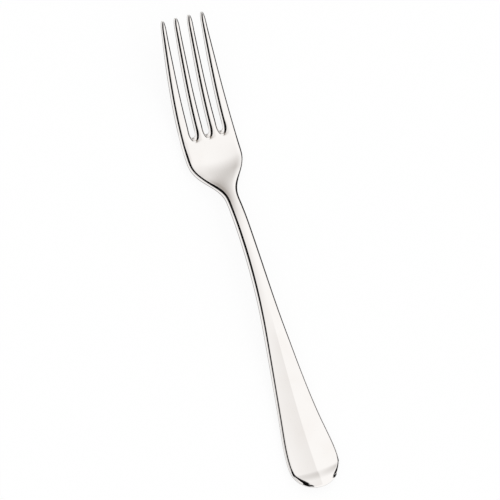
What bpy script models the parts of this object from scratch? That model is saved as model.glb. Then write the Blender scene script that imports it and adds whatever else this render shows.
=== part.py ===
"""A serving fork: one forged and polished steel piece with four tines and a flared, ridged handle.

Metres, +Z up. The fork lies tines up on the table at z = 0, with its tips towards +Y and the origin
under its middle. It is drawn as a flat blank, then pressed along the side line of its middle thickness.
In the blank, x runs across, s is the distance back from the tips, and w is the height in the thickness.
"""
import math

import bmesh
import bpy
import numpy as np

# Plan of the head
LENGTH = 0.2440
TINE_LENGTH = 0.0618
HEAD_WIDTH = 0.0304
TIP_SPAN = 0.0243
TINE_SPLAY = 0.062
TIP_ROUND = 0.0016
SLOT_PITCH_ROOT = 0.00795
SLOT_PITCH_TIP = 0.00755
SLOT_WIDTH_ROOT = 0.0041
SLOT_WIDTH_TIP = 0.0053
SLOT_TAPER = 0.0092
SLOT_SLANT = 0.0039
SLOT_TAPER_UNDER = 0.0022

# Plan of the shoulders and the handle
PALM_LENGTH = 0.0067
SHOULDER_LENGTH = 0.0285
SHAFT_WIDTH = 0.0067
GRIP_WIDTH = 0.0116
GRIP_FROM_END = 0.0800
GRIP_FLARE = 0.105
FLARE_WIDTH = 0.0222
FLARE_FROM_END = 0.0350
FLARE_SPREAD = 0.150
END_WIDTH = 0.0277
END_ROUND = 0.0124

# Side line of the middle thickness, and the thickness along it
TIP_RISE = 0.0166
TIP_SLOPE = 0.330
BOWL_BEHIND_ROOT = 0.0112
HEEL_RISE = 0.0043
HEEL_BEHIND_BOWL = 0.0125
HEEL_SLOPE = 0.360
ARCH_RISE = 0.0087
ARCH_BEHIND_NECK = 0.0235
REST_FROM_END = 0.0230
REST_CUT = 0.00012
TIP_THICKNESS = 0.0022
TIP_TAPER = 0.0250
TINE_THICKNESS = 0.0032
PALM_THICKNESS = 0.0033
SHAFT_THICKNESS = 0.0036
END_THICKNESS = 0.0026

# Dish of the palm, wrap of the heel round it, and crown of the neck and the shaft
DISH_RISE = 0.00040
HEEL_ARC_RADIUS = 0.055
NECK_CROWN = 0.00034
SHAFT_CROWN = 0.00017
CROWN_UNDER_SHARE = 0.6

# Edges: chamfers on the top, widest round the handle's end, and rounds below
EDGE_INSET = 0.00090
EDGE_DROP = 0.00045
END_INSET = 0.00200
END_DROP = 0.00140
END_BEVEL_LENGTH = 0.0060
UNDER_INSET = 0.00045
UNDER_DROP = 0.00055

# Ridge along the top of the handle, between two hollow planes that turn up in a lip before the end
RIDGE_FALL = 0.066
RIDGE_EDGE_FALL = 0.012
RIDGE_FROM_END = 0.0950
RIDGE_FADE = 0.0250
LIP_RISE = 0.00075
LIP_FROM_END = 0.0080
LIP_LENGTH = 0.0050
LIP_ARC_RADIUS = 0.022

# Facets
TIP_ZONE = 0.0060
STRIP_STEPS = 6
EDGE_COLUMN = 0.35
WIDEST_EDGE_SHARE = 0.40
TIP_STEPS = 5
TINE_STEPS = 14
TAPER_STEPS = 6
PALM_STEPS = 5
SHOULDER_STEPS = 14
HANDLE_STEPS = 24
END_STEPS = 12

# Finish
STEEL_COLOUR = (0.92, 0.90, 0.88, 1.0)
STEEL_ROUGHNESS = 0.08

# Stations, as distances back from the tips
PALM_END = TINE_LENGTH + PALM_LENGTH
NECK = PALM_END + SHOULDER_LENGTH
BOWL = TINE_LENGTH + BOWL_BEHIND_ROOT
HEEL = BOWL + HEEL_BEHIND_BOWL
ARCH = NECK + ARCH_BEHIND_NECK
GRIP = LENGTH - GRIP_FROM_END
FLARE = LENGTH - FLARE_FROM_END
END_WIDEST = LENGTH - END_ROUND
REST = LENGTH - REST_FROM_END
STRIPS = 4


def smooth_step(t):
    """Ease from 0 to 1 with level ends."""
    t = min(max(t, 0.0), 1.0)
    return t * t * (3.0 - 2.0 * t)


def smoother_step(t):
    """Ease from 0 to 1 with level, uncurved ends."""
    t = min(max(t, 0.0), 1.0)
    return t * t * t * (10.0 + t * (6.0 * t - 15.0))


def through(knots, s):
    """Value and slope of a cubic through knots of (station, value, slope), level past the last one."""
    if s <= knots[0][0]:
        return knots[0][1] + knots[0][2] * (s - knots[0][0]), knots[0][2]
    for (s0, v0, m0), (s1, v1, m1) in zip(knots, knots[1:]):
        if s <= s1:
            span = s1 - s0
            t = (s - s0) / span
            rise = v1 - v0
            value = v0 + rise * t * t * (3.0 - 2.0 * t)
            value += span * t * (1.0 - t) * (m0 * (1.0 - t) - m1 * t)
            slope = 6.0 * rise / span * t * (1.0 - t)
            slope += m0 * (1.0 - t) * (1.0 - 3.0 * t) + m1 * t * (3.0 * t - 2.0)
            return value, slope
    return knots[-1][1], 0.0


class Slot:
    """Depth and closing length of the slots, as cut in the top or in the underside."""

    def __init__(self, root, taper):
        self.root = root
        self.taper = taper

    def half_width(self, s):
        """Half the gap between two tines, closing in a long round at its root."""
        wide = SLOT_WIDTH_TIP + (SLOT_WIDTH_ROOT - SLOT_WIDTH_TIP) * s / TINE_LENGTH
        closing = min(max(1.0 - (self.root - s) / self.taper, 0.0), 1.0)
        return wide / 2 * math.sqrt(1.0 - closing * closing)


TOP_SLOT = Slot(TINE_LENGTH, SLOT_TAPER)
UNDER_SLOT = Slot(TINE_LENGTH - SLOT_SLANT, SLOT_TAPER_UNDER)

HEAD_SIDE = ((0.0, TIP_SPAN / 2, TINE_SPLAY), (PALM_END, HEAD_WIDTH / 2, 0.0))
HANDLE_SIDE = (
    (NECK, SHAFT_WIDTH / 2, 0.0),
    (GRIP, GRIP_WIDTH / 2, GRIP_FLARE),
    (FLARE, FLARE_WIDTH / 2, FLARE_SPREAD),
    (END_WIDEST, END_WIDTH / 2, 0.0),
)
SIDE_LINE = (
    (0.0, TIP_RISE, -TIP_SLOPE),
    (BOWL, PALM_THICKNESS / 2 - REST_CUT, 0.0),
    (HEEL, HEEL_RISE, HEEL_SLOPE),
    (ARCH, ARCH_RISE, 0.0),
    (REST, END_THICKNESS / 2 - REST_CUT, 0.0),
)
THICKNESS = (
    (0.0, TIP_THICKNESS, 0.0),
    (TIP_TAPER, TINE_THICKNESS, 0.0),
    (TINE_LENGTH, PALM_THICKNESS, 0.0),
    (BOWL, PALM_THICKNESS, 0.0),
    (NECK, SHAFT_THICKNESS, 0.0),
    (ARCH, SHAFT_THICKNESS, 0.0),
    (REST, END_THICKNESS, 0.0),
)
DISH = ((TINE_LENGTH, 0.0, 0.0), (BOWL, DISH_RISE, 0.0), (HEEL, 0.0, 0.0))
CROWN = (
    ((BOWL + HEEL) / 2, 0.0, 0.0),
    (NECK, NECK_CROWN, 0.0),
    ((NECK + ARCH) / 2, SHAFT_CROWN, 0.0),
    (ARCH, SHAFT_CROWN, 0.0),
    ((ARCH + REST) / 2, 0.0, 0.0),
)
CHAMFER_INSET = ((LENGTH - END_BEVEL_LENGTH, EDGE_INSET, 0.0), (LENGTH, END_INSET, 0.0))
CHAMFER_DROP = ((LENGTH - END_BEVEL_LENGTH, EDGE_DROP, 0.0), (LENGTH, END_DROP, 0.0))


def half_width(s):
    """Half the fork's width at a station, held at its widest past the start of the rounded end."""
    if s <= PALM_END:
        return through(HEAD_SIDE, s)[0]
    if s <= NECK:
        ease = smoother_step((s - PALM_END) / SHOULDER_LENGTH)
        return HEAD_WIDTH / 2 + (SHAFT_WIDTH - HEAD_WIDTH) / 2 * ease
    return through(HANDLE_SIDE, s)[0]


def slot_pitch(s):
    """Distance from the middle slot to the outer ones, carried on as a share of the width past them."""
    if s <= TINE_LENGTH:
        return SLOT_PITCH_TIP + (SLOT_PITCH_ROOT - SLOT_PITCH_TIP) * s / TINE_LENGTH
    return SLOT_PITCH_ROOT * half_width(s) / half_width(TINE_LENGTH)


def strip_edges(slot, strip, s):
    """Left and right edge of the strip that carries one tine."""
    pitch = slot_pitch(s)
    gap = slot.half_width(s)
    lines = (-half_width(s), -pitch, 0.0, pitch, half_width(s))
    left = lines[strip] + (gap if strip > 0 else 0.0)
    right = lines[strip + 1] - (gap if strip < STRIPS - 1 else 0.0)
    return left, right


def strip_shares(slot, strip, s):
    """Places of the columns across a strip, from 0 to 1, drawn towards its free edges."""
    left, right = strip_edges(slot, strip, s)
    wide = min(through(CHAMFER_INSET, s)[0] / (right - left), WIDEST_EDGE_SHARE)
    even = np.linspace(0.0, 1.0, STRIP_STEPS + 1)
    drawn = even.copy()
    drawn[1:3] = EDGE_COLUMN * wide, wide
    drawn[-3:-1] = 1.0 - wide, 1.0 - EDGE_COLUMN * wide
    joined = smooth_step((s - slot.root) / (PALM_END - slot.root))
    middle = STRIP_STEPS // 2
    if strip > 0:
        drawn[:middle] += (even[:middle] - drawn[:middle]) * joined
    if strip < STRIPS - 1:
        drawn[middle + 1:] += (even[middle + 1:] - drawn[middle + 1:]) * joined
    return drawn


def stations(slot):
    """Rows of the blank from the tips to the end, in step on both sides along the tines."""
    quarter = math.pi / 2
    taper_start = TINE_LENGTH - SLOT_TAPER
    taper = slot.root - taper_start
    palm = PALM_END - slot.root
    rows = [TIP_ZONE * (1.0 - math.cos(quarter * k / TIP_STEPS)) for k in range(TIP_STEPS)]
    rows += list(np.linspace(TIP_ZONE, taper_start, TINE_STEPS, endpoint=False))
    rows += [taper_start + taper * math.sin(quarter * k / TAPER_STEPS) for k in range(TAPER_STEPS)]
    rows += [slot.root + palm * (1.0 - math.cos(quarter * k / PALM_STEPS)) for k in range(PALM_STEPS)]
    rows += list(np.linspace(PALM_END, NECK, SHOULDER_STEPS, endpoint=False))
    rows += list(np.linspace(NECK, REST, HANDLE_STEPS, endpoint=False))
    rows += [REST + REST_FROM_END * math.sin(quarter * k / END_STEPS) for k in range(END_STEPS + 1)]
    return rows


def end_station(x):
    """Station of the handle's rounded end, x from the middle."""
    share = min(abs(x) / (END_WIDTH / 2), 1.0)
    return END_WIDEST + END_ROUND * math.sqrt(1.0 - share * share)


def place(slot, strip, column, row_station):
    """Blank point (x, s) of one column in one row, with the rows bent round the tips and the end."""
    share = strip_shares(slot, strip, row_station)[column]
    s = row_station
    if row_station < TIP_ZONE:
        across = 2.0 * share - 1.0
        tip = TIP_ROUND * (1.0 - math.sqrt(max(1.0 - across * across, 0.0)))
        s = tip + (TIP_ZONE - tip) * row_station / TIP_ZONE
    left, right = strip_edges(slot, strip, s)
    x = left + (right - left) * share
    if row_station > REST:
        across = x / half_width(s)
        last = end_station(across * END_WIDTH / 2)
        s = REST + (last - REST) * (row_station - REST) / REST_FROM_END
        x = across * half_width(s)
    return x, s


def sheet(slot):
    """Points and faces of one side of the blank: four strips that join behind the slots."""
    points = []
    faces = []
    index = {}
    rows = stations(slot)
    first_joined = TIP_STEPS + TINE_STEPS + TAPER_STEPS
    for row, station in enumerate(rows):
        for strip in range(STRIPS):
            for column in range(STRIP_STEPS + 1):
                if row >= first_joined and strip > 0 and column == 0:
                    index[row, strip, column] = index[row, strip - 1, STRIP_STEPS]
                    continue
                index[row, strip, column] = len(points)
                points.append(place(slot, strip, column, station))
    for row in range(len(rows) - 1):
        for strip in range(STRIPS):
            for column in range(STRIP_STEPS):
                faces.append((
                    index[row, strip, column],
                    index[row + 1, strip, column],
                    index[row + 1, strip, column + 1],
                    index[row, strip, column + 1],
                ))
    return points, faces


def free_edges(faces):
    """Edges that only one face of a sheet uses, in that face's direction."""
    used = {(a, b) for face in faces for a, b in zip(face, face[1:] + face[:1])}
    return [(a, b) for a, b in sorted(used) if (b, a) not in used]


def edge_distances(points, edges):
    """Distance from each blank point to the nearest free edge."""
    flat = np.array(points)
    start = flat[[a for a, b in edges]]
    along = flat[[b for a, b in edges]] - start
    squared = (along ** 2).sum(axis=1)
    distances = []
    for point in flat:
        share = np.clip(((point - start) * along).sum(axis=1) / squared, 0.0, 1.0)
        gaps = start + along * share[:, None] - point
        distances.append(float(np.sqrt((gaps ** 2).sum(axis=1).min())))
    return distances


def dish(x, s):
    """Rise of the palm's sides and of the shoulders, which wrap round the bowl."""
    wrapped = smooth_step((s - TINE_LENGTH) / BOWL_BEHIND_ROOT)
    behind = s + wrapped * x * x / (2 * HEEL_ARC_RADIUS)
    heel = through(SIDE_LINE, behind)[0] - through(SIDE_LINE, s)[0]
    return through(DISH, s)[0] * (x / (HEAD_WIDTH / 2)) ** 2 + heel * wrapped


def crown(x, s):
    """Fall of the neck's and the shaft's top towards their sides."""
    return through(CROWN, s)[0] * (x / (SHAFT_WIDTH / 2)) ** 2


def ridge_height(x, s):
    """Rise of the handle's top above its edges: two hollow planes that meet in a ridge, and the lip."""
    grown = smooth_step((s - (LENGTH - RIDGE_FROM_END)) / RIDGE_FADE)
    inward = max(half_width(s) - abs(x), 0.0)
    hollow = (RIDGE_FALL - RIDGE_EDGE_FALL) / (2 * half_width(s))
    to_end = LENGTH - s - x * x / (2 * LIP_ARC_RADIUS)
    lip = smooth_step((LIP_FROM_END - to_end) / LIP_LENGTH)
    return grown * inward * (RIDGE_EDGE_FALL + hollow * inward) + LIP_RISE * lip


def top_height(x, s, distance):
    """Height of the top above the side line, chamfered near a free edge."""
    into = max(1.0 - distance / through(CHAMFER_INSET, s)[0], 0.0)
    thick = through(THICKNESS, s)[0] / 2 - through(CHAMFER_DROP, s)[0] * into
    return thick + dish(x, s) - crown(x, s) + ridge_height(x, s)


def under_height(x, s, distance):
    """Height of the underside from the side line, rounded near a free edge."""
    into = max(1.0 - distance / UNDER_INSET, 0.0)
    rise = UNDER_DROP * (1.0 - math.sqrt(1.0 - into * into))
    return rise - through(THICKNESS, s)[0] / 2 + dish(x, s) + CROWN_UNDER_SHARE * crown(x, s)


def pressed(x, s, w):
    """Blank point carried to its place on the bent fork."""
    rise, slope = through(SIDE_LINE, s)
    run = math.hypot(1.0, slope)
    return x, LENGTH / 2 - s + w * slope / run, rise + w / run


def fork_mesh():
    """Closed mesh of the fork: a chamfered top, a rounded underside and the wall between them."""
    points, faces = sheet(TOP_SLOT)
    edges = free_edges(faces)
    vertices = []
    for (x, s), distance in zip(points, edge_distances(points, edges)):
        vertices.append(pressed(x, s, top_height(x, s, distance)))
    below = sheet(UNDER_SLOT)[0]
    for (x, s), distance in zip(below, edge_distances(below, edges)):
        x, y, z = pressed(x, s, under_height(x, s, distance))
        vertices.append((x, y, max(z, 0.0)))
    count = len(points)
    vertices = np.array(vertices)
    vertices[:, 1] -= (vertices[:, 1].min() + vertices[:, 1].max()) / 2
    shell = list(faces)
    shell += [tuple(count + i for i in reversed(face)) for face in faces]
    shell += [(b, a, count + a, count + b) for a, b in edges]
    mesh = bpy.data.meshes.new("serving_fork")
    mesh.from_pydata(vertices.tolist(), [], shell)
    return mesh


def steel():
    """Polished stainless steel."""
    material = bpy.data.materials.new("polished_steel")
    material.use_nodes = True
    shader = material.node_tree.nodes["Principled BSDF"]
    shader.inputs["Base Color"].default_value = STEEL_COLOUR
    shader.inputs["Metallic"].default_value = 1.0
    shader.inputs["Roughness"].default_value = STEEL_ROUGHNESS
    return material


def main():
    """Clear the scene and model the fork."""
    for old in list(bpy.data.objects):
        bpy.data.objects.remove(old, do_unlink=True)
    mesh = fork_mesh()
    body = bmesh.new()
    body.from_mesh(mesh)
    bmesh.ops.recalc_face_normals(body, faces=body.faces)
    body.to_mesh(mesh)
    body.free()
    mesh.shade_smooth()
    mesh.materials.append(steel())
    fork = bpy.data.objects.new("serving_fork", mesh)
    bpy.context.scene.collection.objects.link(fork)


main()
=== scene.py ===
"""Looks of a one-piece serving fork in polished steel, lying tines up on a pale floor.

Metres, +Z up, tips towards +Y. The fork is drawn as a finely faceted flat blank and pressed along its
side line by a geometry-nodes tree. In the blank, x runs across and s is the distance back from the tips.
Curved flags and graded cards, which only reflections show, draw the dark lines along its edges, as black
and grey cards do round polished metal in a studio.
"""
import logging
import math
from dataclasses import dataclass, field
from enum import Enum

import bmesh
import bpy
import numpy as np
from mathutils import Matrix, Vector


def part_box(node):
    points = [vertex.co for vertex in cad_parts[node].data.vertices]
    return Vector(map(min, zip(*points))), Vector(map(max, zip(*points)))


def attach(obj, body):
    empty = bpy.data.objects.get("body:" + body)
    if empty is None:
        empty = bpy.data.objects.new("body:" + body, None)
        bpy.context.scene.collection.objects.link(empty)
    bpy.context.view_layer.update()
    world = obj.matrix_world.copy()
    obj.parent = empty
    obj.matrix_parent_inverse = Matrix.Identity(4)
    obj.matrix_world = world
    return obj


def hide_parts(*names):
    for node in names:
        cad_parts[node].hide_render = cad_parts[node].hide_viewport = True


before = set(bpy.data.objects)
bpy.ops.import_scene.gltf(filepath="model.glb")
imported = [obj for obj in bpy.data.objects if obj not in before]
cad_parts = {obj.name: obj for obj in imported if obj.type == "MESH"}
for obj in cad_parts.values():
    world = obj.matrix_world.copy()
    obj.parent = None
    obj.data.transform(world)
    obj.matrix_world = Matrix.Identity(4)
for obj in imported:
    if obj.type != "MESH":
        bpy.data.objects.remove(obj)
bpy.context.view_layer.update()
LOG = logging.getLogger("serving_fork")

Array = np.ndarray
Colour = tuple[float, float, float]


def smooth_step(t: Array) -> Array:
    """Ease from 0 to 1 with level ends."""
    t = np.clip(t, 0.0, 1.0)
    return t * t * (3.0 - 2.0 * t)


def smoother_step(t: Array) -> Array:
    """Ease from 0 to 1 with level, uncurved ends."""
    t = np.clip(t, 0.0, 1.0)
    return t * t * t * (10.0 + t * (6.0 * t - 15.0))


def quarter_turn(count: int) -> Array:
    """Angles from 0 to a right angle, in even steps."""
    return np.linspace(0.0, math.pi / 2, count + 1)


@dataclass(frozen=True)
class Knot:
    """A point that a smooth line passes through, at a distance back from the tips."""

    station: float
    value: float
    slope: float = 0.0


@dataclass(frozen=True)
class SmoothLine:
    """A cubic line through knots, straight before the first one and level past the last."""

    knots: tuple[Knot, ...]

    def at(self, s: Array) -> Array:
        """Values of the line.

        Args:
            s: Distances back from the tips.

        Returns:
            The line's value at each distance.
        """
        first = self.knots[0]
        s = np.asarray(s, float)
        values = np.full(s.shape, self.knots[-1].value)
        values = np.where(s <= first.station, first.value + first.slope * (s - first.station), values)
        for a, b in zip(self.knots, self.knots[1:]):
            span = b.station - a.station
            t = (s - a.station) / span
            cubic = a.value + (b.value - a.value) * t * t * (3.0 - 2.0 * t)
            cubic += span * t * (1.0 - t) * (a.slope * (1.0 - t) - b.slope * t)
            values = np.where((s > a.station) & (s <= b.station), cubic, values)
        return values


class Side(Enum):
    """The two sides of the blank."""

    TOP = 1
    UNDER = -1


@dataclass(frozen=True)
class Slot:
    """One depth of the gaps between the tines: where they end and how they close."""

    root: float
    taper: float
    tine_length: float
    point: float
    width_at_tip: float = 0.0053
    width_at_root: float = 0.0041

    def half_width(self, s: Array) -> Array:
        """Half the gap between two tines, closing towards its root.

        Args:
            s: Distances back from the tips.

        Returns:
            Half the gap at each distance.
        """
        wide = self.width_at_tip + (self.width_at_root - self.width_at_tip) * s / self.tine_length
        closing = np.clip(1.0 - (self.root - s) / self.taper, 0.0, 1.0)
        return wide / 2 * (1.0 - closing ** self.point) ** (1.0 / self.point)


@dataclass(frozen=True)
class HeadPlan:
    """Plan of the tines, the palm behind them and the shoulders down to the neck."""

    tine_length: float = 0.0606
    width: float = 0.0304
    tip_span: float = 0.0243
    splay: float = 0.062
    tip_round: float = 0.0046
    slot_pitch_root: float = 0.00795
    slot_pitch_tip: float = 0.00755
    slot_taper: float = 0.0060
    slot_point: float = 2.2
    slot_slant: float = 0.0020
    slot_taper_under: float = 0.0018
    slot_point_under: float = 2.6
    palm_length: float = 0.0079
    shoulder_length: float = 0.0276
    shoulder_fullness: float = 1.12

    @property
    def palm_end(self) -> float:
        """Where the head starts to narrow."""
        return self.tine_length + self.palm_length

    @property
    def neck(self) -> float:
        """Where the shoulders reach the shaft."""
        return self.palm_end + self.shoulder_length

    def slot(self, side: Side) -> Slot:
        """The slots as cut in one side.

        Args:
            side: Top or underside.

        Returns:
            Slots that reach further back on the top and end blunter below.
        """
        length = self.tine_length
        if side is Side.TOP:
            return Slot(length, self.slot_taper, length, self.slot_point)
        return Slot(length - self.slot_slant, self.slot_taper_under, length, self.slot_point_under)


@dataclass(frozen=True)
class HandlePlan:
    """Plan of the shaft, the flare and the rounded end with its lip."""

    length: float = 0.2445
    shaft_width: float = 0.0067
    grip_width: float = 0.0116
    grip_from_end: float = 0.0805
    grip_flare: float = 0.105
    flare_width: float = 0.0222
    flare_from_end: float = 0.0355
    flare_spread: float = 0.150
    end_width: float = 0.0277
    end_round: float = 0.0129
    rest_from_end: float = 0.0235
    lip_start: float = 0.0085
    lip_stop: float = 0.0033

    @property
    def end_widest(self) -> float:
        """Where the rounded end starts."""
        return self.length - self.end_round

    @property
    def rest(self) -> float:
        """Where the rows of the blank start to bend round the end."""
        return self.length - self.rest_from_end

    def outline(self, neck: float) -> SmoothLine:
        """Outline of one side of the handle.

        Args:
            neck: Where the shaft starts, as a distance back from the tips.

        Returns:
            Half width from the neck to the widest part of the end.
        """
        return SmoothLine((
            Knot(neck, self.shaft_width / 2),
            Knot(self.length - self.grip_from_end, self.grip_width / 2, self.grip_flare),
            Knot(self.length - self.flare_from_end, self.flare_width / 2, self.flare_spread),
            Knot(self.end_widest, self.end_width / 2),
        ))

    def end_station(self, x: Array) -> Array:
        """Distance back from the tips of the rounded end, x from the middle."""
        share = np.minimum(np.abs(x) / (self.end_width / 2), 1.0)
        return self.end_widest + self.end_round * np.sqrt(1.0 - share * share)


@dataclass(frozen=True)
class SideView:
    """Side line of the middle thickness, with a lip at the end, and how thick, dished and crowned it is."""

    head: HeadPlan
    handle: HandlePlan
    tip_rise: float = 0.0166
    tip_slope: float = 0.330
    bowl_behind_root: float = 0.0124
    heel_behind_bowl: float = 0.0125
    heel_rise: float = 0.0043
    heel_slope: float = 0.360
    arch_behind_neck: float = 0.0244
    arch_rise: float = 0.0087
    lip_start_rise: float = 0.00040
    lip_slope: float = 0.050
    lip_rise: float = 0.00141
    rest_cut: float = 0.00012
    tip_thickness: float = 0.0022
    tip_taper: float = 0.0250
    tine_thickness: float = 0.0032
    palm_thickness: float = 0.0033
    shaft_thickness: float = 0.0036
    end_thickness: float = 0.0026
    dish_curve: float = 3.5
    neck_crown_curve: float = 60.0
    shaft_crown_curve: float = 30.0
    crown_under_share: float = 0.6
    heel_arc_radius: float = 0.055

    @property
    def root(self) -> float:
        """Where the slots end."""
        return self.head.tine_length

    @property
    def bowl(self) -> float:
        """Lowest place of the bowl."""
        return self.root + self.bowl_behind_root

    @property
    def heel(self) -> float:
        """Steepest place behind the bowl."""
        return self.bowl + self.heel_behind_bowl

    @property
    def neck(self) -> float:
        """Where the shoulders reach the shaft."""
        return self.head.neck

    @property
    def arch(self) -> float:
        """Highest place of the shaft."""
        return self.neck + self.arch_behind_neck

    @property
    def rest(self) -> float:
        """Where the handle comes down to the table."""
        return self.handle.rest

    def line(self) -> SmoothLine:
        """Height of the middle thickness.

        Returns:
            The line from the tips over the bowl, the heel and the arch to the table and up the lip.
        """
        handle = self.handle
        rested = self.end_thickness / 2 - self.rest_cut
        return SmoothLine((
            Knot(0.0, self.tip_rise, -self.tip_slope),
            Knot(self.bowl, self.palm_thickness / 2 - self.rest_cut),
            Knot(self.heel, self.heel_rise, self.heel_slope),
            Knot(self.arch, self.arch_rise),
            Knot(self.rest, rested),
            Knot(handle.length - handle.lip_start, rested + self.lip_start_rise, self.lip_slope),
            Knot(handle.length - handle.lip_stop, rested + self.lip_rise),
        ))

    def thickness(self, s: Array) -> Array:
        """Thickness of the metal along the fork.

        Args:
            s: Distances back from the tips.

        Returns:
            The thickness at each distance.
        """
        return SmoothLine((
            Knot(0.0, self.tip_thickness),
            Knot(self.tip_taper, self.tine_thickness),
            Knot(self.root, self.palm_thickness),
            Knot(self.bowl, self.palm_thickness),
            Knot(self.neck, self.shaft_thickness),
            Knot(self.arch, self.shaft_thickness),
            Knot(self.rest, self.end_thickness),
        )).at(s)

    def dish(self, x: Array, s: Array) -> Array:
        """Rise of the palm's sides and of the shoulders, which wrap round the bowl.

        Args:
            x: Places across the blank.
            s: Distances back from the tips.

        Returns:
            Height to add to both sides of the blank at each point.
        """
        curve = SmoothLine((
            Knot(self.root, 0.0),
            Knot(self.bowl, self.dish_curve),
            Knot(self.heel, 0.0),
        )).at(s)
        wrapped = smooth_step((s - self.root) / (self.bowl - self.root))
        line = self.line()
        heel = line.at(s + wrapped * x * x / (2.0 * self.heel_arc_radius)) - line.at(s)
        return curve * x * x / 2.0 + heel * wrapped

    def crown(self, x: Array, s: Array) -> Array:
        """Fall of the neck's and the shaft's top towards their sides.

        Args:
            x: Places across the blank.
            s: Distances back from the tips.

        Returns:
            Height to take off the top at each point.
        """
        curve = SmoothLine((
            Knot((self.bowl + self.heel) / 2, 0.0),
            Knot(self.neck, self.neck_crown_curve),
            Knot((self.neck + self.arch) / 2, self.shaft_crown_curve),
            Knot(self.arch, self.shaft_crown_curve),
            Knot((self.arch + self.rest) / 2, 0.0),
        )).at(s)
        return curve * x * x / 2.0


@dataclass(frozen=True)
class Ridge:
    """Soft ridge along the handle's top: two slightly hollow planes, flatter towards the lip at the end."""

    fall_at_ridge: float = 0.066
    fall_at_edge: float = 0.012
    from_end: float = 0.0955
    fade: float = 0.0250
    lip_flattens: float = 0.3

    def height(self, x: Array, s: Array, half_width: Array, handle: HandlePlan) -> Array:
        """Rise of the handle's top above its edges.

        Args:
            x: Places across the blank.
            s: Distances back from the tips.
            half_width: Half the fork's width there.
            handle: Plan of the handle that carries the ridge.

        Returns:
            Height to add to the top at each point.
        """
        grown = smooth_step((s - (handle.length - self.from_end)) / self.fade)
        inward = np.maximum(half_width - np.abs(x), 0.0)
        curve = (self.fall_at_ridge - self.fall_at_edge) / (2.0 * half_width)
        side = inward * (self.fall_at_edge + curve * inward)
        crest = half_width * (self.fall_at_edge + curve * half_width)
        to_end = handle.length - s
        lip = smooth_step((handle.lip_start - to_end) / (handle.lip_start - handle.lip_stop))
        return grown * (side + self.lip_flattens * lip * (crest - side))


@dataclass(frozen=True)
class EdgeRound:
    """Rounded edges: how far in and down they turn, and the slow roll of the margins beside them."""

    inset: SmoothLine = SmoothLine((
        Knot(0.000, 0.00066), Knot(0.012, 0.00086), Knot(0.058, 0.00090), Knot(0.0685, 0.00110),
        Knot(0.081, 0.00076), Knot(0.0905, 0.00120), Knot(0.105, 0.00104), Knot(0.190, 0.00078),
        Knot(0.2345, 0.00092), Knot(0.2370, 0.00125), Knot(0.2399, 0.00180), Knot(0.2407, 0.00175),
        Knot(0.2425, 0.00105), Knot(0.2445, 0.00095),
    ))
    drop: SmoothLine = SmoothLine((
        Knot(0.000, 0.00034), Knot(0.012, 0.00042), Knot(0.058, 0.00044), Knot(0.0685, 0.00052),
        Knot(0.083, 0.00054), Knot(0.0935, 0.00030), Knot(0.099, 0.00028), Knot(0.112, 0.00038),
        Knot(0.190, 0.00038), Knot(0.225, 0.00046), Knot(0.2345, 0.00052), Knot(0.2370, 0.00074),
        Knot(0.2399, 0.00110), Knot(0.2407, 0.00108), Knot(0.2425, 0.00066), Knot(0.2445, 0.00060),
    ))
    outer_drop: SmoothLine = SmoothLine((
        Knot(0.2352, 0.0), Knot(0.2385, 0.00060), Knot(0.2397, 0.00050), Knot(0.2407, 0.0),
    ))
    outer_inset: float = 0.00040
    slot_growth: SmoothLine = SmoothLine((
        Knot(0.0525, 0.0), Knot(0.058, 1.0), Knot(0.0608, 1.0), Knot(0.0645, 0.0),
    ))
    slot_widens: float = 0.25
    slot_deepens: float = 0.45
    slot_from_side: float = 0.0020
    roll: SmoothLine = SmoothLine((
        Knot(0.062, 0.0), Knot(0.081, 0.00030), Knot(0.097, 0.0),
    ))
    roll_width: float = 0.0030
    power: float = 1.06
    under_inset: float = 0.00045
    under_drop: float = 0.00055
    under_power: float = 2.0

    def fall(self, s: Array, distance: Array, inward: Array) -> Array:
        """How far the top lies below the full thickness.

        Args:
            s: Distances back from the tips.
            distance: Distances from the nearest free edge.
            inward: Distances across from the fork's nearest side.

        Returns:
            The fall at each point, all of the drop and the roll at the edge itself.
        """
        grown = self.slot_growth.at(s) * smooth_step(inward / self.slot_from_side - 1.0)
        inset = self.inset.at(s) * (1.0 + self.slot_widens * grown)
        drop = self.drop.at(s) * (1.0 + self.slot_deepens * grown)
        into = np.clip(1.0 - distance / inset, 0.0, 1.0)
        turned = 1.0 - (1.0 - into ** self.power) ** (1.0 / self.power)
        outer = self.outer_drop.at(s) * np.clip(1.0 - distance / self.outer_inset, 0.0, 1.0)
        beside = np.clip(1.0 - distance / self.roll_width, 0.0, 1.0)
        return drop * turned + outer + self.roll.at(s) * beside * beside

    def rise(self, distance: Array) -> Array:
        """How far the underside lies above the full thickness."""
        into = np.clip(1.0 - distance / self.under_inset, 0.0, 1.0)
        return self.under_drop * (1.0 - (1.0 - into ** self.under_power) ** (1.0 / self.under_power))


@dataclass(frozen=True)
class Facets:
    """How finely the blank is cut."""

    strips: int = 4
    edge_columns: int = 6
    middle_columns: int = 4
    widest_edge_share: float = 0.42
    tip_zone: float = 0.0085
    tip_rows: int = 26
    tine_rows: int = 64
    taper_rows: int = 24
    palm_rows: int = 14
    shoulder_rows: int = 44
    handle_rows: int = 120
    end_rows: int = 64
    wall_rows: int = 6
    distance_chunk: int = 2000
    least_squared_length: float = 1e-18

    @property
    def columns(self) -> int:
        """Facets across one strip."""
        return 2 * self.edge_columns + self.middle_columns

    @property
    def first_joined(self) -> int:
        """First row behind the slots, where neighbouring strips share their edge points."""
        return self.tip_rows + self.tine_rows + self.taper_rows


@dataclass(frozen=True)
class Sheet:
    """One side of the blank: its points, its facets and its free edges."""

    x: Array
    s: Array
    faces: Array
    edges: Array


@dataclass(frozen=True)
class Blank:
    """The closed flat blank, before it is pressed."""

    points: Array
    faces: Array
    # Painted shade: how far the steel's colour darkens at each point.
    painted_edge_shade: Array


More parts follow.
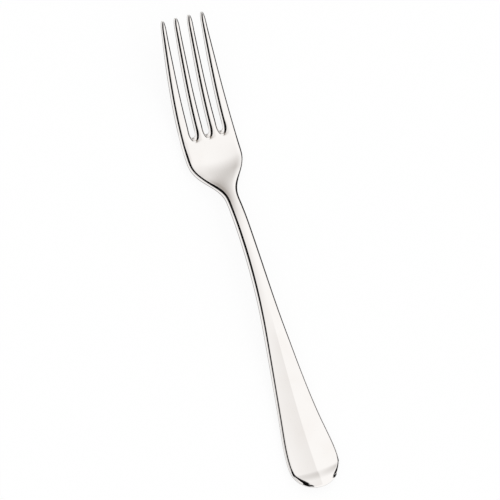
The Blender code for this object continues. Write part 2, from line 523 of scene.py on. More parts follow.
def rgba(colour: Colour) -> tuple[float, float, float, float]:
    """A colour with full opacity."""
    return (*colour, 1.0)


def place(name: str, data: bpy.types.ID) -> bpy.types.Object:
    """Make an object and put it in the scene.

    Args:
        name: The object's name.
        data: Its mesh, curve or camera.

    Returns:
        The new object, at the origin.
    """
    thing = bpy.data.objects.new(name, data)
    bpy.context.scene.collection.objects.link(thing)
    return thing


def empty_material(name: str) -> bpy.types.Material:
    """Make a material with no nodes yet.

    Args:
        name: The material's name.

    Returns:
        The new material.
    """
    material = bpy.data.materials.new(name)
    material.use_nodes = True
    material.node_tree.nodes.clear()
    return material


@dataclass
class NodeBoard:
    """Short-hands for placing nodes in one tree."""

    tree: bpy.types.NodeTree

    @classmethod
    def group(cls, name: str, kind: str, takes: dict[str, str], gives: dict[str, str]) -> "NodeBoard":
        """Start a node group with named sockets.

        Args:
            name: The group's name.
            kind: The tree's type, as Blender names it.
            takes: Type of each named input.
            gives: Type of each named output.

        Returns:
            A board for the new group's tree.
        """
        tree = bpy.data.node_groups.new(name, kind)
        for way, sockets in (("INPUT", takes), ("OUTPUT", gives)):
            for label, socket_type in sockets.items():
                tree.interface.new_socket(label, in_out=way, socket_type=f"NodeSocket{socket_type}")
        return cls(tree)

    def add(
        self, kind: str, name: str = "", inputs: dict[str | int, object] | None = None, **settings: object
    ) -> bpy.types.Node:
        """Place a node.

        Args:
            kind: The node's type, as Blender names it.
            name: What the node does.
            inputs: Outputs to link or values to set, for its inputs by name or number.
            settings: Properties to set on it first.

        Returns:
            The new node.
        """
        node = self.tree.nodes.new(kind)
        node.label = name
        for key, value in settings.items():
            setattr(node, key, value)
        for key, value in (inputs or {}).items():
            if isinstance(value, bpy.types.NodeSocket):
                self.tree.links.new(value, node.inputs[key])
            else:
                node.inputs[key].default_value = value
        return node

    def math(self, operation: str, *values: object, name: str = "") -> bpy.types.NodeSocket:
        """Place a Math node.

        Args:
            operation: What it works out.
            values: Outputs or numbers to work on.
            name: What the result is.

        Returns:
            The result's output.
        """
        node = self.add("ShaderNodeMath", name, dict(enumerate(values)), operation=operation)
        return node.outputs["Value"]

    def vector(
        self, operation: str, *values: object, name: str = "", **inputs: object
    ) -> bpy.types.NodeSocket:
        """Place a Vector Math node.

        Args:
            operation: What it works out.
            values: Outputs or vectors to work on.
            name: What the result is.
            inputs: Inputs that the operation takes by name.

        Returns:
            The result's output.
        """
        node = self.add("ShaderNodeVectorMath", name, dict(enumerate(values)) | inputs, operation=operation)
        return node.outputs["Vector"]

    def ramp(self, value: object, start: object, stop: object, name: str = "") -> bpy.types.NodeSocket:
        """Ease a value from 0 at start to 1 at stop.

        Args:
            value: The output to ease.
            start: Where the result leaves 0.
            stop: Where the result reaches 1.
            name: What the result is.

        Returns:
            The eased value's output.
        """
        inputs = {"Value": value, "From Min": start, "From Max": stop}
        return self.add("ShaderNodeMapRange", name, inputs, interpolation_type="SMOOTHSTEP").outputs["Result"]

    def use(self, group: bpy.types.NodeTree, name: str, inputs: dict[str, object]) -> bpy.types.NodeSocket:
        """Place a shader group with its own values and give its only output."""
        return self.add("ShaderNodeGroup", name, inputs, node_tree=group).outputs[0]


@dataclass
class PressTree:
    """Geometry nodes that press a flat blank along a side line."""

    name: str = "press_along_side_line"
    table_height: float = 0.0
    inputs: dict[str, str] = field(default_factory=dict)
    tree: bpy.types.NodeTree | None = None

    def build(self) -> "PressTree":
        """Make the tree.

        Returns:
            This tree, with the identifiers of its named inputs.
        """
        takes = {"Geometry": "Geometry", "Side Line": "Object", "Table Height": "Float", "Steel": "Material"}
        board = NodeBoard.group(self.name, "GeometryNodeTree", takes, {"Geometry": "Geometry"})
        self.tree = board.tree
        for socket in self.tree.interface.items_tree:
            if socket.in_out == "INPUT":
                self.inputs[socket.name] = socket.identifier
        given = board.add("NodeGroupInput").outputs
        line = board.add(
            "GeometryNodeObjectInfo", "side line", {"Object": given["Side Line"]}, transform_space="ORIGINAL"
        ).outputs["Geometry"]
        flat = board.add("GeometryNodeInputPosition", "flat place").outputs["Position"]
        parts = board.add("ShaderNodeSeparateXYZ", "across, along, height", {"Vector": flat}).outputs
        on_line = {"Curves": line, "Length": parts["Y"]}
        sample = board.add(
            "GeometryNodeSampleCurve", "place on the line", on_line, mode="LENGTH", use_all_curves=True
        ).outputs
        across = (1.0, 0.0, 0.0)
        upright = board.vector("CROSS_PRODUCT", sample["Tangent"], across, name="square to the line")
        lift = board.vector("SCALE", upright, Scale=parts["Z"], name="height in the thickness")
        raised = board.vector("ADD", sample["Position"], lift, name="line and height")
        bent = board.add("ShaderNodeSeparateXYZ", "pressed along the line", {"Vector": raised}).outputs
        rested = board.math("MAXIMUM", bent["Z"], given["Table Height"], name="flat on the table")
        pressed = {"X": parts["X"], "Y": bent["Y"], "Z": rested}
        spot = board.add("ShaderNodeCombineXYZ", "pressed place", pressed).outputs["Vector"]
        moved = {"Geometry": given["Geometry"], "Position": spot}
        shape = board.add("GeometryNodeSetPosition", "press", moved).outputs["Geometry"]
        for kind in ("GeometryNodeSetShadeSmooth", "GeometryNodeRealizeInstances"):
            shape = board.add(kind, inputs={"Geometry": shape}).outputs["Geometry"]
        dressed = {"Geometry": shape, "Material": given["Steel"]}
        shape = board.add("GeometryNodeSetMaterial", "steel", dressed).outputs["Geometry"]
        board.add("NodeGroupOutput", inputs={"Geometry": shape})
        return self

    def run(
        self, blank: bpy.types.Object, line: bpy.types.Object, steel: bpy.types.Material
    ) -> bpy.types.Mesh:
        """Press a blank.

        Args:
            blank: The flat blank.
            line: The curve to press it along.
            steel: The finish to give it.

        Returns:
            The pressed shape as a plain mesh.
        """
        modifier = blank.modifiers.new(self.name, "NODES")
        modifier.node_group = self.tree
        modifier[self.inputs["Side Line"]] = line
        modifier[self.inputs["Table Height"]] = self.table_height
        modifier[self.inputs["Steel"]] = steel
        depsgraph = bpy.context.evaluated_depsgraph_get()
        pressed = bpy.data.meshes.new_from_object(
            blank.evaluated_get(depsgraph), preserve_all_data_layers=True, depsgraph=depsgraph
        )
        blank.modifiers.remove(modifier)
        return pressed


@dataclass(frozen=True)
class PolishedSteel:
    """Mirror-polished stainless steel: fine lines along the fork, soft smudges, and painted shade on the rim
    and lower edges.
    """

    colour: Colour = (0.968, 0.941, 0.918)
    worn_colour: Colour = (0.948, 0.914, 0.886)
    roughness: float = 0.045
    line_roughness: float = 0.04
    smudge_roughness: float = 0.05
    # Painted shade: the colour darkens along the top's rim and down the lower edges, where this attribute is
    # set.
    edge_attribute: str = "painted_edge_shade"
    edge_reach: float = 0.40
    edge_slant: float = 0.0010
    edge_shade: float = 0.12
    rim_width: float = 0.00020
    rim_share: float = 0.55
    line_scale: float = 900.0
    line_stretch: float = 0.03
    line_detail: float = 3.0
    line_range: tuple[float, float] = (0.42, 0.68)
    line_depth: float = 0.0000012
    smudge_scale: float = 38.0
    smudge_detail: float = 4.0
    smudge_distortion: float = 0.6
    smudge_range: tuple[float, float] = (0.46, 0.72)

    def lines_group(self) -> bpy.types.NodeTree:
        """Node group for the fine lines that polishing leaves along the metal.

        Returns:
            The group, which takes the lines' scale and stretch and gives their mask.
        """
        takes = {"Scale": "Float", "Stretch": "Float"}
        board = NodeBoard.group("polish_lines", "ShaderNodeTree", takes, {"Lines": "Float"})
        given = board.add("NodeGroupInput").outputs
        spot = board.add("ShaderNodeTexCoord").outputs["Object"]
        along = {"X": 1.0, "Y": given["Stretch"], "Z": 1.0}
        stretch = board.add("ShaderNodeCombineXYZ", "stretched along the fork", along).outputs["Vector"]
        drawn = board.vector("MULTIPLY", spot, stretch)
        settings = {"Vector": drawn, "Scale": given["Scale"], "Detail": self.line_detail}
        noise = board.add("ShaderNodeTexNoise", "lines", settings).outputs["Fac"]
        mask = board.ramp(noise, *self.line_range, name="line mask")
        board.add("NodeGroupOutput", inputs={"Lines": mask})
        return board.tree

    def smudges_group(self) -> bpy.types.NodeTree:
        """Node group for the broad soft marks that wiping and handling leave.

        Returns:
            The group, which takes the smudges' scale and gives their mask.
        """
        board = NodeBoard.group("wiped_smudges", "ShaderNodeTree", {"Scale": "Float"}, {"Smudges": "Float"})
        given = board.add("NodeGroupInput").outputs
        settings = {
            "Vector": board.add("ShaderNodeTexCoord").outputs["Object"],
            "Scale": given["Scale"],
            "Detail": self.smudge_detail,
            "Distortion": self.smudge_distortion,
        }
        noise = board.add("ShaderNodeTexNoise", "smudges", settings).outputs["Fac"]
        mask = board.ramp(noise, *self.smudge_range, name="smudge mask")
        board.add("NodeGroupOutput", inputs={"Smudges": mask})
        return board.tree

    def material(self) -> bpy.types.Material:
        """Make the steel's material.

        Returns:
            The material, which reads the blank's painted edge shade attribute and darkens its colour there.
        """
        material = empty_material("polished_steel")
        board = NodeBoard(material.node_tree)
        drawn = {"Scale": self.line_scale, "Stretch": self.line_stretch}
        lines = board.use(self.lines_group(), "polish lines", drawn)
        smudges = board.use(self.smudges_group(), "wiped smudges", {"Scale": self.smudge_scale})
        # Painted shade: where the attribute is 1 the colour falls to edge_shade of itself, a dark line at the
        # edges.
        edge = board.add(
            "ShaderNodeAttribute", "painted shade mask", attribute_name=self.edge_attribute
        ).outputs["Fac"]
        colours = {"Factor": smudges, "A": rgba(self.colour), "B": rgba(self.worn_colour)}
        tint = board.add("ShaderNodeMix", "steel colour", colours, data_type="RGBA").outputs["Result"]
        shade = board.math("MULTIPLY_ADD", edge, self.edge_shade - 1.0, 1.0, name="painted edge darkening")
        dull = board.math("MULTIPLY_ADD", lines, self.line_roughness, self.roughness)
        relief = {"Strength": 1.0, "Distance": self.line_depth, "Height": lines}
        surface = {
            "Base Color": board.vector("SCALE", tint, Scale=shade),
            "Metallic": 1.0,
            "Roughness": board.math("MULTIPLY_ADD", smudges, self.smudge_roughness, dull),
            "Normal": board.add("ShaderNodeBump", "polish lines", relief).outputs["Normal"],
        }
        steel = board.add("ShaderNodeBsdfPrincipled", "steel", surface).outputs["BSDF"]
        board.add("ShaderNodeOutputMaterial", inputs={"Surface": steel})
        return material


@dataclass
class ServingFork:
    """The whole fork: one blank of steel, cut, pressed and polished."""

    head: HeadPlan = HeadPlan()
    handle: HandlePlan = HandlePlan()
    side: SideView = SideView(head, handle)
    ridge: Ridge = Ridge()
    rounding: EdgeRound = EdgeRound()
    facets: Facets = Facets()
    finish: PolishedSteel = PolishedSteel()
    line_resolution: int = 256
    arc_samples: int = 20001
    name: str = "serving_fork_steel"

    def half_width(self, s: Array) -> Array:
        """Half the fork's width.

        Args:
            s: Distances back from the tips.

        Returns:
            Half the width at each distance.
        """
        head = self.head
        tines = SmoothLine((
            Knot(0.0, head.tip_span / 2, head.splay),
            Knot(head.palm_end, head.width / 2),
        )).at(s)
        along = np.clip((s - head.palm_end) / head.shoulder_length, 0.0, 1.0)
        eased = smoother_step(along ** head.shoulder_fullness)
        shoulder = head.width / 2 + (self.handle.shaft_width - head.width) / 2 * eased
        grip = self.handle.outline(head.neck).at(s)
        return np.where(s <= head.palm_end, tines, np.where(s <= head.neck, shoulder, grip))

    def slot_pitch(self, s: Array) -> Array:
        """Distance from one slot's middle to the next one's.

        Args:
            s: Distances back from the tips.

        Returns:
            The pitch at each distance, which shrinks with the fork's width behind the slots.
        """
        head = self.head
        root = np.array(head.tine_length)
        along = np.clip(s / root, 0.0, 1.0)
        pitch = head.slot_pitch_tip + (head.slot_pitch_root - head.slot_pitch_tip) * along
        return pitch * (self.half_width(np.maximum(s, root)) / self.half_width(root))

    def strip_sides(self, slot: Slot, strip: Array, s: Array) -> tuple[Array, Array]:
        """Left and right side of each strip of the blank.

        Args:
            slot: The gaps between the strips.
            strip: Number of each point's strip, from the left.
            s: Distances back from the tips.

        Returns:
            Places across of the strip's two sides.
        """
        half = self.half_width(s)
        gap = slot.half_width(s)
        pitch = self.slot_pitch(s)
        middle = self.facets.strips / 2
        left = np.where(strip == 0, -half, (strip - middle) * pitch + gap)
        right = np.where(strip == self.facets.strips - 1, half, (strip + 1 - middle) * pitch - gap)
        return left, right

    def column_shares(self, rows: Array, slot: Slot) -> Array:
        """Where the columns of facets lie across each strip.

        Args:
            rows: Distance back of each row.
            slot: The gaps between the strips.

        Returns:
            Shares from 0 to 1 for each row and column, close together along the tines' edges.
        """
        cut = self.facets
        turn = quarter_turn(cut.edge_columns)
        near = 1.0 - np.cos(turn)
        even = np.arange(cut.columns + 1) / cut.columns
        left, right = self.strip_sides(slot, np.array(1), rows)
        share = np.minimum(self.rounding.inset.at(rows) / (right - left), cut.widest_edge_share)
        first = share[:, None] * near[None, :]
        gap = (1.0 - 2.0 * share)[:, None]
        inner = share[:, None] + gap * np.arange(1, cut.middle_columns)[None, :] / cut.middle_columns
        packed = np.concatenate((first, inner, 1.0 - first[:, ::-1]), axis=1)
        relaxed = smooth_step((rows - slot.root) / (self.head.neck - slot.root))[:, None]
        return packed + (even[None, :] - packed) * relaxed

    def rows(self, slot: Slot) -> Array:
        """Where the rows of facets lie, in step on both sides along the tines.

        Args:
            slot: The gaps between the tines, whose roots the rows follow.

        Returns:
            Distance back from the tips of each row.
        """
        cut = self.facets
        head = self.head
        handle = self.handle
        taper_start = head.tine_length - head.slot_taper
        tip = cut.tip_zone * (1.0 - np.cos(quarter_turn(cut.tip_rows)))
        tine = np.linspace(cut.tip_zone, taper_start, cut.tine_rows + 1)[1:]
        taper = taper_start + (slot.root - taper_start) * np.sin(quarter_turn(cut.taper_rows))[1:]
        palm = slot.root + (head.palm_end - slot.root) * (1.0 - np.cos(quarter_turn(cut.palm_rows)))[1:]
        shoulder = np.linspace(head.palm_end, head.neck, cut.shoulder_rows + 1)[1:]
        shaft = np.linspace(head.neck, handle.rest, cut.handle_rows + 1)[1:]
        end = handle.rest + handle.rest_from_end * np.sin(quarter_turn(cut.end_rows))[1:]
        return np.concatenate((tip, tine, taper, palm, shoulder, shaft, end))

    def sheet(self, side: Side) -> Sheet:
        """Lay out one side of the blank.

        Args:
            side: Top or underside.

        Returns:
            The flat sheet, its strips parted by the slots and joined behind them.
        """
        slot = self.head.slot(side)
        cut = self.facets
        row = self.rows(slot)
        shares = self.column_shares(row, slot)
        shape = (len(row), cut.strips, cut.columns + 1)
        row = np.broadcast_to(row[:, None, None], shape)
        share = np.broadcast_to(shares[:, None, :], shape)
        strip = np.broadcast_to(np.arange(cut.strips)[None, :, None], shape)
        in_strip = 2.0 * share - 1.0
        tip = self.head.tip_round * (1.0 - np.sqrt(np.maximum(1.0 - in_strip * in_strip, 0.0)))
        s = np.where(row < cut.tip_zone, tip + (cut.tip_zone - tip) * row / cut.tip_zone, row)
        left, right = self.strip_sides(slot, strip, s)
        x = left + (right - left) * share
        across = x / self.half_width(s)
        rest = self.handle.rest
        last = self.handle.end_station(across * self.handle.end_width / 2)
        turned = rest + (last - rest) * (row - rest) / self.handle.rest_from_end
        s = np.where(row > rest, turned, s)
        x = np.where(row > rest, across * self.half_width(s), x)
        own = np.ones(shape, bool)
        own[cut.first_joined:, 1:, 0] = False
        number = np.cumsum(own.ravel()).reshape(shape) - 1
        number[cut.first_joined:, 1:, 0] = number[cut.first_joined:, :-1, -1]
        corners = (number[:-1, :, :-1], number[1:, :, :-1], number[1:, :, 1:], number[:-1, :, 1:])
        faces = np.stack([c.ravel() for c in corners], axis=1)
        return Sheet(x[own], s[own], faces, self.free_edges(faces))

    @staticmethod
    def free_edges(faces: Array) -> Array:
        """Edges that only one facet has.

        Args:
            faces: The sheet's facets.

        Returns:
            Pairs of point numbers, in the facets' own direction.
        """
        edges = np.concatenate([np.stack((faces[:, k], faces[:, (k + 1) % 4]), axis=1) for k in range(4)])
        count = edges.max() + 1
        forward = edges[:, 0] * count + edges[:, 1]
        backward = edges[:, 1] * count + edges[:, 0]
        return edges[~np.isin(forward, backward)]

    def edge_distances(self, sheet: Sheet) -> Array:
        """Distance of each point of a sheet from its nearest free edge.

        Args:
            sheet: One side of the blank.

        Returns:
            The distances, in the order of the sheet's points.
        """
        cut = self.facets
        spots = np.stack((sheet.x, sheet.s), axis=1)
        start = spots[sheet.edges[:, 0]]
        along = spots[sheet.edges[:, 1]] - start
        squared = np.maximum((along * along).sum(axis=1), cut.least_squared_length)
        nearest = np.empty(len(spots))
        for first in range(0, len(spots), cut.distance_chunk):
            chunk = spots[first:first + cut.distance_chunk]
            apart = chunk[:, None, :] - start[None, :, :]
            share = np.clip((apart * along[None]).sum(axis=2) / squared[None], 0.0, 1.0)
            apart -= share[:, :, None] * along[None]
            nearest[first:first + len(chunk)] = np.sqrt((apart * apart).sum(axis=2).min(axis=1))
        return nearest

    def heights(self, sheet: Sheet, distance: Array, side: Side) -> Array:
        """Height of each point in the thickness, from the middle line.

        Args:
            sheet: One side of the blank.
            distance: Distances of its points from the free edges.
            side: Top or underside.

        Returns:
            Heights above the side line.
        """
        x, s = sheet.x, sheet.s
        crown = self.side.crown(x, s)
        half = self.side.thickness(s) / 2
        if side is Side.TOP:
            width = self.half_width(s)
            top = half - crown + self.ridge.height(x, s, width, self.handle) + self.side.dish(x, s)
            return top - self.rounding.fall(s, distance, width - np.abs(x))
        under = self.rounding.rise(distance) + crown * self.side.crown_under_share - half
        return self.side.dish(x, s) + under

    def arc_lengths(self, s: Array) -> Array:
        """Length of the side line from the tips.

        Args:
            s: Distances back from the tips.

        Returns:
            Length along the line to each distance.
        """
        station = np.linspace(0.0, self.handle.length, self.arc_samples)
        rise = self.side.line().at(station)
        steps = np.hypot(np.diff(station), np.diff(rise))
        return np.interp(s, station, np.concatenate(([0.0], np.cumsum(steps))))

    def blank(self) -> Blank:
        """Lay the top over the underside and close the blank with walls.

        Returns:
            The closed blank: across, along the side line, and height in the thickness.
        """
        sheets = {side: self.sheet(side) for side in Side}
        distance = {side: self.edge_distances(sheets[side]) for side in Side}
        layer = {}
        for side, sheet in sheets.items():
            height = self.heights(sheet, distance[side], side)
            layer[side] = np.stack((sheet.x, self.arc_lengths(sheet.s), height), axis=1)
        top, under = layer[Side.TOP], layer[Side.UNDER]
        count = len(top)
        edges = sheets[Side.TOP].edges
        rim = np.unique(edges[:, 0])
        order = np.full(count, -1)
        order[rim] = np.arange(len(rim))
        first, second = order[edges[:, 0]], order[edges[:, 1]]
        points = [top, under]
        levels = [rim]
        shades = []
        # Painted shade on the lower part of the walls, weaker where they slant.
        slant = np.hypot(*(top[rim] - under[rim])[:, :2].T)
        upright = np.clip(1.0 - slant / self.finish.edge_slant, 0.0, 1.0)
        total = 2 * count
        for level in range(1, self.facets.wall_rows):
            share = level / self.facets.wall_rows
            points.append(top[rim] + (under[rim] - top[rim]) * share)
            shades.append(upright * max(1.0 - (1.0 - share) / self.finish.edge_reach, 0.0))
            levels.append(total + np.arange(len(rim)))
            total += len(rim)
        levels.append(rim + count)
        faces = [sheets[Side.TOP].faces, sheets[Side.UNDER].faces[:, ::-1] + count]
        for upper, lower in zip(levels, levels[1:]):
            faces.append(np.stack((upper[second], upper[first], lower[first], lower[second]), axis=1))
        # Painted shade also along the underside's rim and in a thin line at the top's rim.
        below = 1.0 - np.clip(distance[Side.UNDER] / self.rounding.under_inset, 0.0, 1.0)
        rim_line = 1.0 - np.clip(distance[Side.TOP] / self.finish.rim_width, 0.0, 1.0)
        painted_edge_shade = np.concatenate((self.finish.rim_share * rim_line, below, *shades))
        return Blank(np.concatenate(points), np.concatenate(faces), painted_edge_shade)

    def blank_object(self) -> bpy.types.Object:
        """Make the flat blank's object.

        Returns:
            The blank, with the painted edge shade attribute that its material reads.
        """
        blank = self.blank()
        mesh = bpy.data.meshes.new("flat_blank")
        mesh.from_pydata(blank.points.tolist(), [], blank.faces.tolist())
        attribute = mesh.attributes.new(self.finish.edge_attribute, "FLOAT", "POINT")
        attribute.data.foreach_set("value", blank.painted_edge_shade.astype(np.float32))
        return place("flat_blank", mesh)

    def line_object(self) -> bpy.types.Object:
        """Make the side line's curve.

        Returns:
            The curve, from the tips back to the end of the handle.
        """
        knots = list(self.side.line().knots)
        knots.append(Knot(self.handle.length, knots[-1].value))
        curve = bpy.data.curves.new("side_line", "CURVE")
        curve.dimensions = "3D"
        curve.resolution_u = self.line_resolution
        spline = curve.splines.new("BEZIER")
        spline.bezier_points.add(len(knots) - 1)
        for index, (knot, point) in enumerate(zip(knots, spline.bezier_points)):
            before = knots[max(index - 1, 0)].station - knot.station
            after = knots[min(index + 1, len(knots) - 1)].station - knot.station
            point.handle_left_type = "FREE"
            point.handle_right_type = "FREE"
            point.co = (0.0, self.handle.length / 2 - knot.station, knot.value)
            # A cubic's handles lie a third of the way to the neighbouring knots.
            for handle, step in (("handle_left", before / 3), ("handle_right", after / 3)):
                setattr(point, handle, point.co + Vector((0.0, -step, knot.slope * step)))
        return place("side_line", curve)

    @staticmethod
    def face_outwards(mesh: bpy.types.Mesh) -> None:
        """Turn a closed mesh's faces outwards, because the press mirrors the blank.

        Args:
            mesh: The mesh to change.
        """
        shape = bmesh.new()
        shape.from_mesh(mesh)
        bmesh.ops.recalc_face_normals(shape, faces=shape.faces)
        shape.to_mesh(mesh)
        shape.free()

    def build(self) -> bpy.types.Object:
        """Press the blank and place the fork on the middle of its solid.

        Returns:
            The finished fork, at the origin, unturned and unscaled.
        """
        blank = self.blank_object()
        line = self.line_object()
        mesh = PressTree().build().run(blank, line, self.finish.material())
        for guide in (blank, line):
            bpy.data.objects.remove(guide)
        self.face_outwards(mesh)
        mesh.name = self.name
        low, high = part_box("serving_fork")
        along = np.array([vertex.co.y for vertex in mesh.vertices])
        mesh.transform(Matrix.Translation((0.0, (low.y + high.y - along.min() - along.max()) / 2, 0.0)))
        return place(self.name, mesh)


class Bend(Enum):
    """Which way a reflected panel curves over the fork."""

    LEFT_TO_RIGHT = "left to right"
    FAR_TO_NEAR = "far to near"


FADE_LABELS = {"X": ("Fade Start", "Fade Stop"), "Y": ("Fade Low", "Fade High")}


@dataclass(frozen=True)
class ReflectedPanel:
    """A curved panel with feathered edges that only reflections show.

    The arc is in degrees from straight overhead, to the left or towards the tips. The fades are shares of
    the arc and of the panel's length.
    """

    name: str
    bend: Bend
    arc: tuple[float, float]
    ends: tuple[float, float]
    tone: Colour
    arc_fades: tuple[float, float]
    end_fades: tuple[float, float]
    radius: float
    depth: float = 1.0
    segments: int = 48

    @staticmethod
    def mask_group() -> bpy.types.NodeTree:
        """Node group for the feathered edges, made once for all panels.

        Returns:
            The group, which takes the four fades and gives the panel's mask.
        """
        name = "feathered_panel"
        if name in bpy.data.node_groups:
            return bpy.data.node_groups[name]
        takes = {label: "Float" for labels in FADE_LABELS.values() for label in labels}
        board = NodeBoard.group(name, "ShaderNodeTree", takes, {"Mask": "Float"})
        given = board.add("NodeGroupInput").outputs
        uv = board.add("ShaderNodeUVMap").outputs["UV"]
        spot = board.add("ShaderNodeSeparateXYZ", "round and along", {"Vector": uv}).outputs
        mask = 1.0
        for axis, (low, high) in FADE_LABELS.items():
            rising = board.ramp(spot[axis], 0.0, given[low])
            falling = board.ramp(board.math("SUBTRACT", 1.0, spot[axis]), 0.0, given[high])
            mask = board.math("MULTIPLY", mask, board.math("MULTIPLY", rising, falling))
        board.add("NodeGroupOutput", inputs={"Mask": mask})
        return board.tree

    def material(self) -> bpy.types.Material:
        """Make the panel's material.

        Returns:
            The material, in the panel's tone, clear towards its edges.
        """
        material = empty_material(self.name)
        board = NodeBoard(material.node_tree)
        labels = FADE_LABELS["X"] + FADE_LABELS["Y"]
        fades = dict(zip(labels, self.arc_fades + self.end_fades))
        mask = board.use(self.mask_group(), "feathered edges", fades)
        layers = {
            0: board.math("MULTIPLY", mask, self.depth),
            1: board.add("ShaderNodeBsdfTransparent").outputs["BSDF"],
            2: board.add("ShaderNodeEmission", inputs={"Color": rgba(self.tone)}).outputs["Emission"],
        }
        mixed = board.add("ShaderNodeMixShader", inputs=layers).outputs["Shader"]
        board.add("ShaderNodeOutputMaterial", inputs={"Surface": mixed})
        return material

    def build(self) -> bpy.types.Object:
        """Bend the panel over the fork.

        Returns:
            The panel, seen by reflections alone.
        """
        grid = bmesh.new()
        layer = grid.loops.layers.uv.new("UVMap")
        start, stop = self.arc
        rings = []
        for step in range(self.segments + 1):
            share = step / self.segments
            angle = math.radians(start + (stop - start) * share)
            reach, rise = self.radius * math.sin(angle), self.radius * math.cos(angle)
            ring = []
            for end in self.ends:
                spot = (-reach, end, rise) if self.bend is Bend.LEFT_TO_RIGHT else (end, reach, rise)
                ring.append(grid.verts.new(spot))
            rings.append((share, ring))
        for (share, ring), (next_share, next_ring) in zip(rings, rings[1:]):
            face = grid.faces.new((ring[0], ring[1], next_ring[1], next_ring[0]))
            corners = ((share, 0.0), (share, 1.0), (next_share, 1.0), (next_share, 0.0))
            for loop, corner in zip(face.loops, corners):
                loop[layer].uv = corner
        mesh = bpy.data.meshes.new(self.name)
        grid.to_mesh(mesh)
        grid.free()
        mesh.materials.append(self.material())
        panel = place(self.name, mesh)
        for ray in ("camera", "diffuse", "transmission", "volume_scatter", "shadow"):
            setattr(panel, f"visible_{ray}", False)
        return panel


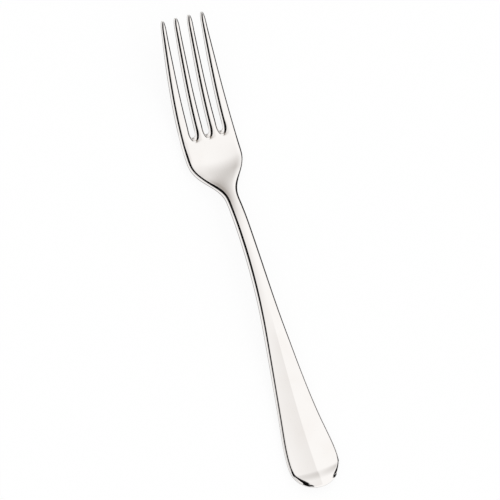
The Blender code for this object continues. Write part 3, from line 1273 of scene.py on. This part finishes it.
@dataclass(frozen=True)
class Studio:
    """Pale floor, even white light and the panels that the polished steel reflects."""

    floor_size: float = 12.0
    floor_drop: float = 0.0001
    floor_colour: Colour = (0.985, 0.985, 0.985)
    floor_glow: float = 0.86
    panels: tuple[ReflectedPanel, ...] = (
        ReflectedPanel(
            name="left_card",
            bend=Bend.LEFT_TO_RIGHT,
            arc=(-28.5, 92.0),
            ends=(-4.0, 4.5),
            tone=(0.33, 0.29, 0.26),
            arc_fades=(0.10, 0.02),
            end_fades=(0.10, 0.10),
            radius=3.4,
            depth=0.20,
        ),
        ReflectedPanel(
            name="left_flag",
            bend=Bend.LEFT_TO_RIGHT,
            arc=(2.0, 49.0),
            ends=(-3.0, 2.7),
            tone=(0.004, 0.004, 0.004),
            arc_fades=(0.26, 0.08),
            end_fades=(0.16, 0.12),
            radius=3.2,
        ),
        ReflectedPanel(
            name="near_flag",
            bend=Bend.LEFT_TO_RIGHT,
            arc=(-9.0, 49.0),
            ends=(-5.2, -1.4),
            tone=(0.004, 0.004, 0.004),
            arc_fades=(0.07, 0.08),
            end_fades=(0.20, 0.09),
            radius=3.1,
        ),
        ReflectedPanel(
            name="right_flag",
            bend=Bend.LEFT_TO_RIGHT,
            arc=(-91.0, -57.0),
            ends=(-1.7, 2.0),
            tone=(0.01, 0.01, 0.01),
            arc_fades=(0.005, 0.28),
            end_fades=(0.15, 0.25),
            radius=3.2,
        ),
        ReflectedPanel(
            name="far_card",
            bend=Bend.FAR_TO_NEAR,
            arc=(4.0, 58.0),
            ends=(-3.3, 3.3),
            tone=(0.07, 0.035, 0.002),
            arc_fades=(0.89, 0.20),
            end_fades=(0.10, 0.54),
            radius=3.6,
        ),
    )

    def floor(self) -> bpy.types.Object:
        """Lay the floor.

        Returns:
            The pale floor that the fork lies on.
        """
        half = self.floor_size / 2
        sides = ((-half, -half), (half, -half), (half, half), (-half, half))
        mesh = bpy.data.meshes.new("pale_floor")
        mesh.from_pydata([(x, y, -self.floor_drop) for x, y in sides], [], [(0, 1, 2, 3)])
        mesh.materials.append(self.floor_material())
        return place("pale_floor", mesh)

    def floor_material(self) -> bpy.types.Material:
        """Make the floor's material.

        Returns:
            A material that is white when seen or reflected, with part of the fork's own shadow.
        """
        material = empty_material("pale_floor")
        board = NodeBoard(material.node_tree)
        ray = board.add("ShaderNodeLightPath").outputs
        seen = board.math("MAXIMUM", ray["Is Camera Ray"], ray["Is Glossy Ray"])
        seen = board.math("MAXIMUM", seen, ray["Is Transmission Ray"], name="seen or reflected")
        layers = {
            0: board.math("MULTIPLY", seen, self.floor_glow),
            1: board.add("ShaderNodeBsdfDiffuse", inputs={"Color": rgba(self.floor_colour)}).outputs["BSDF"],
            2: board.add("ShaderNodeEmission").outputs["Emission"],
        }
        mixed = board.add("ShaderNodeMixShader", inputs=layers).outputs["Shader"]
        board.add("ShaderNodeOutputMaterial", inputs={"Surface": mixed})
        return material

    def light(self) -> None:
        """Even white light from all round."""
        world = bpy.data.worlds.new("white_tent")
        world.use_nodes = True
        sky = world.node_tree.nodes["Background"]
        sky.inputs["Color"].default_value = (1.0, 1.0, 1.0, 1.0)
        sky.inputs["Strength"].default_value = 1.0
        bpy.context.scene.world = world
        bpy.context.scene.view_settings.view_transform = "Standard"

    def build(self) -> list[bpy.types.Object]:
        """Set up the studio.

        Returns:
            The floor and the panels.
        """
        self.light()
        objects = [self.floor(), *(panel.build() for panel in self.panels)]
        return objects


@dataclass(frozen=True)
class PhotoCamera:
    """Camera of the photograph: nearly overhead, from the fork's left, with the fork slanting in its view."""

    towards: tuple[float, float, float] = (-0.438, -0.075, 0.896)
    roll: float = -15.94
    aim: tuple[float, float, float] = (0.0, 0.00075, 0.006)
    aim_right: float = 0.00075
    aim_up: float = 0.0004
    distance: float = 1.5
    focal_length: float = 216.0
    sensor: float = 36.0

    def build(self) -> bpy.types.Object:
        """Place the camera and make it the scene's own.

        Returns:
            The camera.
        """
        back = Vector(self.towards).normalized()
        level = (Vector((1.0, 0.0, 0.0)) - back * back.x).normalized()
        turn = Matrix.Rotation(math.radians(self.roll), 3, back)
        right = turn @ level
        up = back.cross(right)
        target = Vector(self.aim) + right * self.aim_right + up * self.aim_up
        lens = bpy.data.cameras.new("photo_camera")
        lens.lens = self.focal_length
        lens.sensor_width = self.sensor
        camera = place("photo_camera", lens)
        axes = Matrix((right, up, back)).transposed().to_4x4()
        camera.matrix_world = Matrix.Translation(target + back * self.distance) @ axes
        bpy.context.scene.camera = camera
        return camera


def main() -> None:
    """Build the fork, the studio and the camera, and report each."""
    logging.basicConfig(level=logging.INFO, format="%(name)s: %(message)s")
    fork = ServingFork().build()
    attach(fork, "root")
    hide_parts("serving_fork")
    LOG.info("%s: %d facets", fork.name, len(fork.data.polygons))
    for thing in Studio().build():
        LOG.info("stage: %s", thing.name)
    camera = PhotoCamera().build()
    LOG.info("camera: %s", camera.name)


if __name__ == "__main__":
    main()
